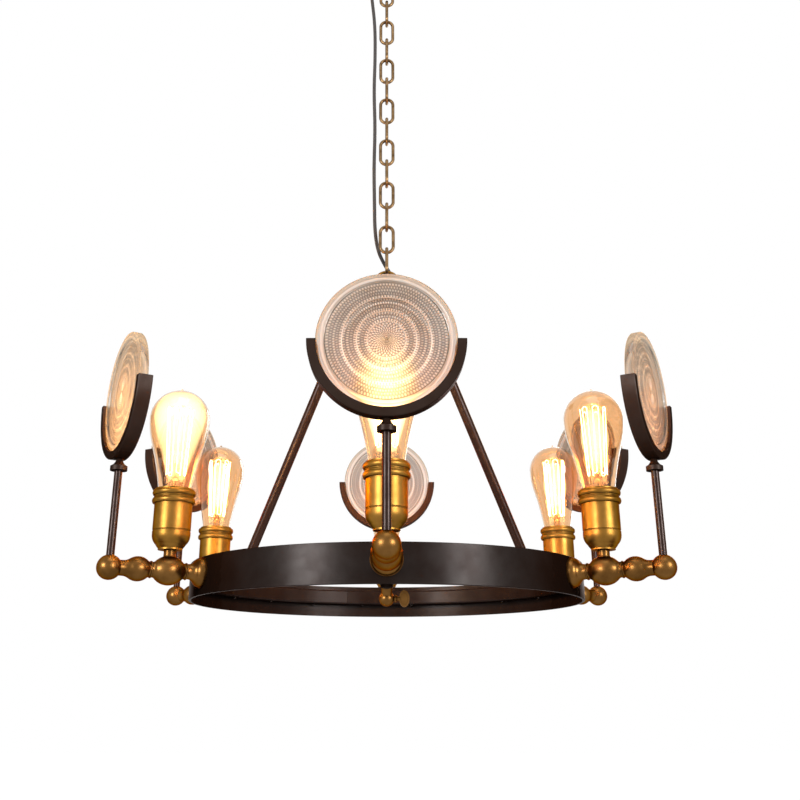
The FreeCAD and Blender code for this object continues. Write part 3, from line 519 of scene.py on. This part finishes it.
def woven(name, dark, light):
    """Two crossed sets of threads round the cord."""
    s = Shader(name)
    place = s.here()
    threads = []
    for lean in (WEAVE_LEAN, -WEAVE_LEAN):
        across = s.add("Mapping", {"Vector": place, "Rotation": (0, math.radians(lean), 0)})
        wave = s.add("TexWave", {"Vector": across.outputs["Vector"], "Scale": WEAVE_SCALE,
                                 "Distortion": WEAVE_WOBBLE}, bands_direction="Z")
        threads.append(wave.outputs["Fac"])
    weave = s.combine("MULTIPLY", *threads)
    colour = s.ramp(weave, WEAVE_TURN, dark, light)
    normal = s.bump(weave, *WEAVE_BUMP)
    return s.leave(s.add("BsdfPrincipled", {"Base Color": colour, "Roughness": WEAVE_ROUGH,
                                            "Sheen Weight": WEAVE_SHEEN,
                                            "Normal": normal}).outputs["BSDF"])


# Camera, floor and light

def add_camera():
    data = bpy.data.cameras.new("camera")
    data.sensor_width = CAMERA_SENSOR
    data.lens = CAMERA_LENS
    data.shift_x, data.shift_y = CAMERA_SHIFT
    camera = link(bpy.data.objects.new("camera", data))
    camera.location = CAMERA_PLACE
    camera.rotation_euler = (math.radians(90 + CAMERA_PITCH), 0, 0)
    scene.camera = camera


def seen_directly(s):
    """1 for rays that show the background itself: camera, mirrored and refracted rays."""
    path = s.add("LightPath").outputs
    seen = s.combine("MAXIMUM", path["Is Camera Ray"], path["Is Glossy Ray"])
    return s.combine("MAXIMUM", seen, path["Is Transmission Ray"])


def add_world():
    s = Shader("studio", world=True)
    level = s.span(seen_directly(s), AMBIENT, 1.0, 0.0, 1.0)
    sky = s.add("Background", {"Color": (1, 1, 1, 1), "Strength": level}).outputs["Background"]
    scene.world = s.leave(sky)


def add_floor():
    """A pale floor that turns to pure white away from the object, for rays that see it directly."""
    s = Shader("floor")
    dark, light = ((tone, tone, tone) for tone in FLOOR_TONES)
    pale = s.ramp(s.noise(FLOOR_CLOUD, 2.0), FLOOR_TURN, dark, light)
    matte = s.add("BsdfDiffuse", {"Color": pale}).outputs["BSDF"]
    white = s.add("Emission", {"Color": (1, 1, 1, 1), "Strength": FLOOR_WHITE}).outputs["Emission"]
    far = s.add("VectorMath", {0: s.here()}, operation="LENGTH").outputs["Value"]
    cover = s.span(far, 1 - FLOOR_SHADE, 1.0, *FLOOR_SHADE_REACH)
    material = s.leave(s.mix(s.combine("MULTIPLY", seen_directly(s), cover), matte, white))
    half = FLOOR_SIZE / 2
    corners = [(-half, -half, 0), (half, -half, 0), (half, half, 0), (-half, half, 0)]
    floor = mesh_object("floor", corners, [(0, 1, 2, 3)], material)
    floor.location = (0, 0, FLOOR_Z)


def add_light(name, kind, watts, place):
    """A lamp that lights the object and isn't seen itself."""
    data = bpy.data.lights.new(name, kind)
    data.energy = watts
    lamp = link(bpy.data.objects.new(name, data))
    lamp.location = place
    lamp.visible_camera = False
    lamp.visible_transmission = False
    return lamp


def add_lamps():
    for name, place, size, watts in LAMPS:
        lamp = add_light(name, "AREA", watts, place)
        lamp.data.size = size
        aim = LAMP_TARGET - Vector(place)
        lamp.rotation_euler = aim.to_track_quat("-Z", "Y").to_euler()


# Cord

def cord_line():
    """The cord's smooth line, from its route, at even steps."""
    data = bpy.data.curves.new("cord_line", "CURVE")
    data.dimensions = "3D"
    data.resolution_u = CORD_FINENESS
    spline = data.splines.new("NURBS")
    spline.points.add(len(CORD_ROUTE) - 1)
    for point, spot in zip(spline.points, CORD_ROUTE):
        point.co = (*spot, 1)
    spline.order_u = CORD_ORDER
    spline.use_endpoint_u = True
    curve = bpy.data.objects.new("cord_line", data)
    drawn = bpy.data.meshes.new_from_object(curve)
    fine = [vertex.co.copy() for vertex in drawn.vertices]
    bpy.data.meshes.remove(drawn)
    bpy.data.objects.remove(curve)
    line = [fine[0]]
    for spot in fine[1:-1]:
        if (spot - line[-1]).length >= CORD_STEP:
            line.append(spot)
    return line + [fine[-1]]


def cord_rings(line):
    """Rings of points round the line, each turned as little as possible from the one before."""
    rings = []
    side = Vector((1, 0, 0))
    for number, spot in enumerate(line):
        before, after = line[max(number - 1, 0)], line[min(number + 1, len(line) - 1)]
        along = (after - before).normalized()
        side = (side - along * side.dot(along)).normalized()
        across = along.cross(side)
        outward = [side * math.cos(angle) + across * math.sin(angle)
                   for angle in angles(CORD_AROUND)]
        rings.append([spot + way * (CORD_DIAMETER / 2) for way in outward])
    return rings


def cord_stretch(name, rings, material):
    points = []
    rows = [add_row(points, ring, CORD_AROUND) for ring in rings]
    faces = [rows[0][::-1], rows[-1]] + bridge(rows)
    return mesh_object(name, points, faces, material, SHARP_CORD)


def add_cord(material):
    """The cord in stretches, split at the chain's hinges: a stretch that stays within one body is
    attached to it, and the others are left where they are.
    """
    line = cord_line()
    rings = cord_rings(line)
    first = 0
    for number, (upper, lower, leads_to, led_from, foot) in enumerate(CORD_STRETCHES, 1):
        last = first + 1
        while last < len(line) - 1 and (foot is None or line[last].z > foot):
            last += 1
        piece = cord_stretch("cord_%d" % number, rings[first:last + 1], material)
        if upper == lower:
            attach(piece, upper)
        else:
            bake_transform(piece)
        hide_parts("supply_cord")
        first = last


# Lenses

# One row of points round a lens's face. crest is its share of the relief, dashes how many it has
# around, or "eye" for the middle's pattern, bright the painted light of the dashes, and shade the
# painted light and shade without them.
LensRow = namedtuple("LensRow", "radius height crest dashes shade bright")


def lens_face(radius, rim_half):
    """The rows of one face, from the axis out."""
    eye = LENS_RINGS[0][0] * radius
    outer = LENS_RINGS[-1][1] * radius
    rows = []

    def base(r):
        return LENS_FLOOR_HALF + LENS_DOME * (1 - (r / outer) ** 2)

    for number in range(LENS_EYE_ROWS):
        r = eye * number / LENS_EYE_ROWS
        rows.append(LensRow(r, base(r), 1, "eye", LENS_EYE_SHADE, 1.0))
    for low_share, high_share, counts in LENS_RINGS:
        edges = [(low_share + (high_share - low_share) * ring / len(counts)) * radius
                 for ring in range(len(counts) + 1)]
        for ring, (count, start, end) in enumerate(zip(counts, edges, edges[1:])):
            bright = LENS_ODD if ring % 2 else LENS_EVEN
            for part in range(LENS_RING_ROWS):
                share = part / LENS_RING_ROWS
                r = start + (end - start) * share
                ridge = LENS_RIDGE if ring == part == 0 else 0
                rows.append(LensRow(r, base(r) + ridge, math.sin(math.pi * share), count,
                                    LENS_GAP_SHADE if ring else LENS_RIDGE_SHADE, bright))
    rows.append(LensRow(outer, LENS_FLOOR_HALF, 0, 0, LENS_SHOULDER_SHADE, 1.0))
    for share, drop, shade in LENS_RIM:
        rows.append(LensRow(outer + (radius - outer) * share,
                            rim_half - drop * (rim_half - LENS_FLOOR_HALF), 0, 0, shade, 1.0))
    return rows


def dash(dashes, angle, reach, number):
    """0 in the gaps and 1 on the raised dashes, for an angle round the lens and a numbered row.
    reach is the row's radius as a share of the lens's."""
    if not dashes:
        return 0
    if dashes == "eye":
        arms, wind = LENS_EYE
        foot, slope = LENS_EYE_WAVE
        wave = abs(math.cos(arms * angle + wind * reach) * math.cos(arms * angle - wind * reach))
    else:
        foot, slope = LENS_RING_WAVE
        wave = math.cos(dashes * angle + LENS_RING_TURN * (number // LENS_RING_ROWS))
    return min(1, max(0, foot + slope * wave))


def lens_mesh(material, radius, rim_half):
    """A pressed lens standing on edge, its axis along X, with rings of short raised dashes."""
    points, faces, rims, relief = [], [], [], []
    for side in (1, -1):
        rows = []
        for number, row in enumerate(lens_face(radius, rim_half)):
            if row.radius < AXIS:
                rows.append(add_row(points, [(side * row.height, 0, 0)], LENS_AROUND))
                relief.append(row.shade)
                continue
            ring = []
            for angle in angles(LENS_AROUND):
                raised = dash(row.dashes, angle, row.radius / radius, number)
                lift = LENS_RELIEF * row.crest * (raised - LENS_SUNK)
                ring.append((side * (row.height + lift), row.radius * math.cos(angle),
                             row.radius * math.sin(angle)))
                relief.append(row.shade + (raised * row.bright - row.shade) * row.crest)
            rows.append(add_row(points, ring, LENS_AROUND))
        faces += [face[::side] for face in bridge(rows)]
        rims.append(rows[-1])
    mesh = new_mesh("lens", points, faces + bridge(rims), material)
    # Stores the relief's painted light and shade, for the glass's tint
    mesh.attributes.new("relief", "FLOAT", "POINT").data.foreach_set("value", relief)
    return mesh


def add_lenses(material):
    low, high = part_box("lens_1")
    mesh = lens_mesh(material, (high.z - low.z) / 2, (high.y - low.y) / 2)
    for number in range(1, ARM_COUNT + 1):
        node = "lens_%d" % number
        lens = link(bpy.data.objects.new("pressed_lens_%d" % number, mesh.copy()))
        place = middle(node)
        lens.location = place
        lens.rotation_euler = (0, 0, math.atan2(place.y, place.x))
        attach(lens, "lens_holder_%d" % number)
        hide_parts(node)


# Bulbs

def cage_lines():
    """The filament's zigzag line, and the hooks that hold it."""
    line, hooks = [], []
    for strand, angle in enumerate(angles(CAGE_STRANDS)):
        ends = [(CAGE_LOW_RADIUS, CAGE_LOW), (CAGE_HIGH_RADIUS, CAGE_HIGH)]
        if strand % 2:
            ends.reverse()
        line += [turned(radius, angle, height) for radius, height in ends]
        after = angle + math.pi / CAGE_STRANDS
        radius, height = ends[1]
        rise = HOOK_RISE if height == CAGE_HIGH else -HOOK_RISE
        top = turned(radius, after, height + rise)
        line.append(top)
        inward, bend = HOOK_BEND
        hooks.append([(0, 0, height + HOOK_ROOT * rise),
                      turned(radius * inward, after, height + bend * rise), top])
    return line, hooks


def rod_profile():
    """The glass rod up the cage's middle, with a button at each of the hooks' roots."""
    low = CAGE_LOW - HOOK_ROOT * HOOK_RISE
    high = CAGE_HIGH + HOOK_ROOT * HOOK_RISE
    shoulder, tip = ROD_TOP
    return [(0, low - ROD_TAIL), (ROD_RADIUS, low - ROD_TAIL), (ROD_RADIUS, low - ROD_NECK),
            (ROD_BUTTON, low), (ROD_RADIUS, low + ROD_NECK), (ROD_RADIUS, high - ROD_NECK),
            (ROD_BUTTON, high), (ROD_RADIUS, high + shoulder), (0, high + tip)]


def haze_profile():
    """The haze round the cage, closed at both ends."""
    low, high = CAGE_LOW - HAZE_PAST_CAGE, CAGE_HIGH + HAZE_PAST_CAGE
    at_foot, growth = HAZE_MARGIN_GROWTH
    profile = []
    for step in range(HAZE_STEPS + 1):
        share = step / HAZE_STEPS
        cage = CAGE_LOW_RADIUS + (CAGE_HIGH_RADIUS - CAGE_LOW_RADIUS) * share
        margin = HAZE_MARGIN * min(1, at_foot + growth * share)
        width = math.sin(math.pi * share) ** 0.5 * (cage + margin)
        profile.append((width if 0 < step < HAZE_STEPS else 0, low + (high - low) * share))
    return profile


def cap_mesh(name, material, dark, radius, top):
    """A screw cap about Z: a solder button, a black glass cone and a threaded sleeve."""
    low, high = CAP_GLASS
    points, rows = [], []
    for r, z in CAP_FOOT + [(radius - CAP_SLEEVE_INSET, high)]:
        ring = [turned(r, angle, z) for angle in angles(CAP_AROUND)]
        rows.append(add_row(points, ring if r else [(0, 0, z)], CAP_AROUND))
    for step in range(CAP_SLEEVE_STEPS + 1):
        z = CAP_SLEEVE + (top - CAP_SLEEVE) * step / CAP_SLEEVE_STEPS
        fade = max(0, min(1, (z - CAP_SLEEVE) / THREAD_PITCH, (top - z) / THREAD_PITCH))
        ring = []
        for angle in angles(CAP_AROUND):
            wave = math.cos(2 * math.pi * (z / THREAD_PITCH) - angle)
            groove = THREAD_DEPTH * (0.5 - 0.5 * wave) * fade
            ring.append(turned(radius - groove - THREAD_CLEARANCE, angle, z))
        rows.append(add_row(points, ring, CAP_AROUND))
    rows.append(add_row(points, [(0, 0, top)], CAP_AROUND))
    cap = mesh_object(name, points, bridge(rows), material, SHARP_CAP)
    cap.data.materials.append(dark)
    for face in cap.data.polygons:
        if low < face.center.z < high:
            face.material_index = 1
    return cap


def add_bulbs(m):
    line, hooks = cage_lines()
    rod = rod_profile()
    narrow = haze_profile()
    wide = [(radius * MM, height * MM) for radius, height in WIDE_HAZE]
    for number in range(1, ARM_COUNT + 1):
        body = "bulb_%d" % number
        low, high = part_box("bulb_cap_%d" % number)
        axis = middle("bulb_cap_%d" % number)
        foot = Vector((axis.x, axis.y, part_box("bulb_glass_%d" % number)[0].z))
        haze = wide if number in WIDE_HAZE_BULBS else narrow
        pieces = [
            wire("filament_%d" % number, [line], CAGE_WIRE, m["filament"], foot, closed=True),
            wire("hooks_%d" % number, hooks, HOOK_WIRE, m["hooks"], foot),
            lathe("glass_rod_%d" % number, rod, m["clear"], ROD_AROUND, foot),
            lathe("glow_%d" % number, haze, m["haze_%d" % number], HAZE_AROUND, foot, SMOOTH),
        ]
        cap = cap_mesh("screw_cap_%d" % number, m["cap"], m["plastic"], (high.x - low.x) / 2,
                       high.z - low.z)
        cap.location = (axis.x, axis.y, low.z)
        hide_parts("bulb_cap_%d" % number)
        for piece in pieces + [cap]:
            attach(piece, body)
        lamp = add_light("bulb_light_%d" % number, "POINT", BULB_WATTS_OF.get(number, BULB_WATTS),
                         foot + Vector((0, 0, (CAGE_LOW + CAGE_HIGH) / 2)))
        lamp.data.color = BULB_COLOUR_OF.get(number, BULB_COLOUR)
        lamp.data.shadow_soft_size = BULB_LIGHT_RADIUS
        lamp.parent = frame["bodies"][body]


# Materials of the frame's own nodes

def make_materials():
    edge = (0.25, 0.20, 0.18)
    skin = (0.110, 0.052, 0.032)
    m = {
        "bronze": metal("bronze", (0.0108, 0.0092, 0.0088), (0.0160, 0.0146, 0.0142), (0.28, 0.34),
                        edge, patina=(0.06, skin)),
        "yoke": metal("yoke_bronze", (0.0150, 0.0120, 0.0105), (0.0210, 0.0175, 0.0160),
                      (0.36, 0.46), edge, patina=(0.12, skin)),
        "tube": metal("bronze_tube", (0.0150, 0.0115, 0.0110), (0.0260, 0.0205, 0.0190),
                      (0.22, 0.30), (0.60, 0.42, 0.26), patina=(0.11, skin)),
        # The arms' brass: a darker copy of the holders' brass, painted shade for the arms' darker
        # look; its grooves darken by grime and painted shade
        "arm": metal("arm_brass_shaded", (0.105, 0.048, 0.012), (0.185, 0.090, 0.025), (0.28, 0.40),
                     (0.55, 0.32, 0.14), grime_and_shade=(8 * MM, (0.048, 0.019, 0.004))),
        # Antique brass, whose grooves darken by grime and by painted shade
        "brass": metal("antique_brass", (0.180, 0.088, 0.015), (0.275, 0.138, 0.028), (0.33, 0.43),
                       (0.42, 0.27, 0.11), grime_and_shade=(5 * MM, (0.065, 0.028, 0.005))),
        "chain": metal("chain_brass", (0.11, 0.065, 0.030), (0.25, 0.155, 0.075), (0.28, 0.42),
                       cloud=160),
        "steel": metal("zinc_steel", (0.42, 0.42, 0.41), (0.62, 0.62, 0.60), (0.28, 0.40),
                       cloud=120),
        "hooks": metal("hook_wire", (0.62, 0.34, 0.12), (0.80, 0.48, 0.20), (0.25, 0.35)),
        "cap": metal("cap_metal", (0.55, 0.42, 0.20), (0.78, 0.64, 0.36), (0.20, 0.34), cloud=90),
        "porcelain": plain("porcelain", (0.80, 0.77, 0.70), (0.88, 0.86, 0.80), 0.22),
        "plastic": plain("black_plastic", (0.012, 0.011, 0.011), (0.025, 0.024, 0.023), 0.42),
        "cord": woven("woven_cord", (0.010, 0.009, 0.009), (0.055, 0.050, 0.047)),
        "bulb": glass("bulb_glass", (0.93, 0.68, 0.45), 0.0, uneven=True),
        "clear": glass("clear_glass", (1.0, 0.90, 0.76), 0.02),
        "lens": pressed_glass("lens_glass"),
        "filament": glowing("filament", FILAMENT_COLOUR, FILAMENT_GLOW),
    }
    for number in range(1, ARM_COUNT + 1):
        m["haze_%d" % number] = glow_air("haze_%d" % number, HAZE_COLOUR,
                                         HAZE_OF.get(number, HAZE))
    return m


NODE_MATERIALS = {
    # a name that ends in _ stands for every node that begins so, unless a longer name fits it
    "steel": ["ceiling_bracket", "arm_locknuts"],
    "bronze": ["ceiling_canopy", "hub_bell", "hub_plate", "ring_band", "wiring_channel",
               "channel_screws"],
    "yoke": ["yoke_"],
    "tube": ["strut_front", "strut_right", "strut_left", "lens_stems"],
    "arm": ["arm_", "switch_body", "turn_key"],
    "brass": ["canopy_collar", "canopy_loop", "hub_loop", "holder_rings", "holder_"],
    "chain": ["chain_top_link", "chain_links", "chain_bottom_link"],
    "plastic": ["cord_grip"],
    "porcelain": ["holder_insulators"],
    "bulb": ["bulb_glass_"],
    "cap": ["bulb_cap_"],
    "cord": ["supply_cord"],
    "lens": ["lens_"],
}


def material_key(node):
    """The material whose list names the node, or the longest beginning of its name."""
    found = [(len(start), key) for key, starts in NODE_MATERIALS.items() for start in starts
             if node == start or (start.endswith("_") and node.startswith(start))]
    return max(found)[1]


def dress_nodes(m):
    for name, node in frame["nodes"].items():
        material = m[material_key(name)]
        if not node.data.materials:
            node.data.materials.append(material)
        for slot in node.material_slots:
            slot.material = material
        node.data.polygons.foreach_set("use_smooth", [True] * len(node.data.polygons))
        node.data.set_sharp_from_angle(angle=math.radians(SHARP_NODE))


def main():
    scene.view_settings.view_transform = "Standard"
    add_camera()
    add_world()
    add_floor()
    add_lamps()
    materials = make_materials()
    dress_nodes(materials)
    add_cord(materials["cord"])
    add_lenses(materials["lens"])
    add_bulbs(materials)


main()
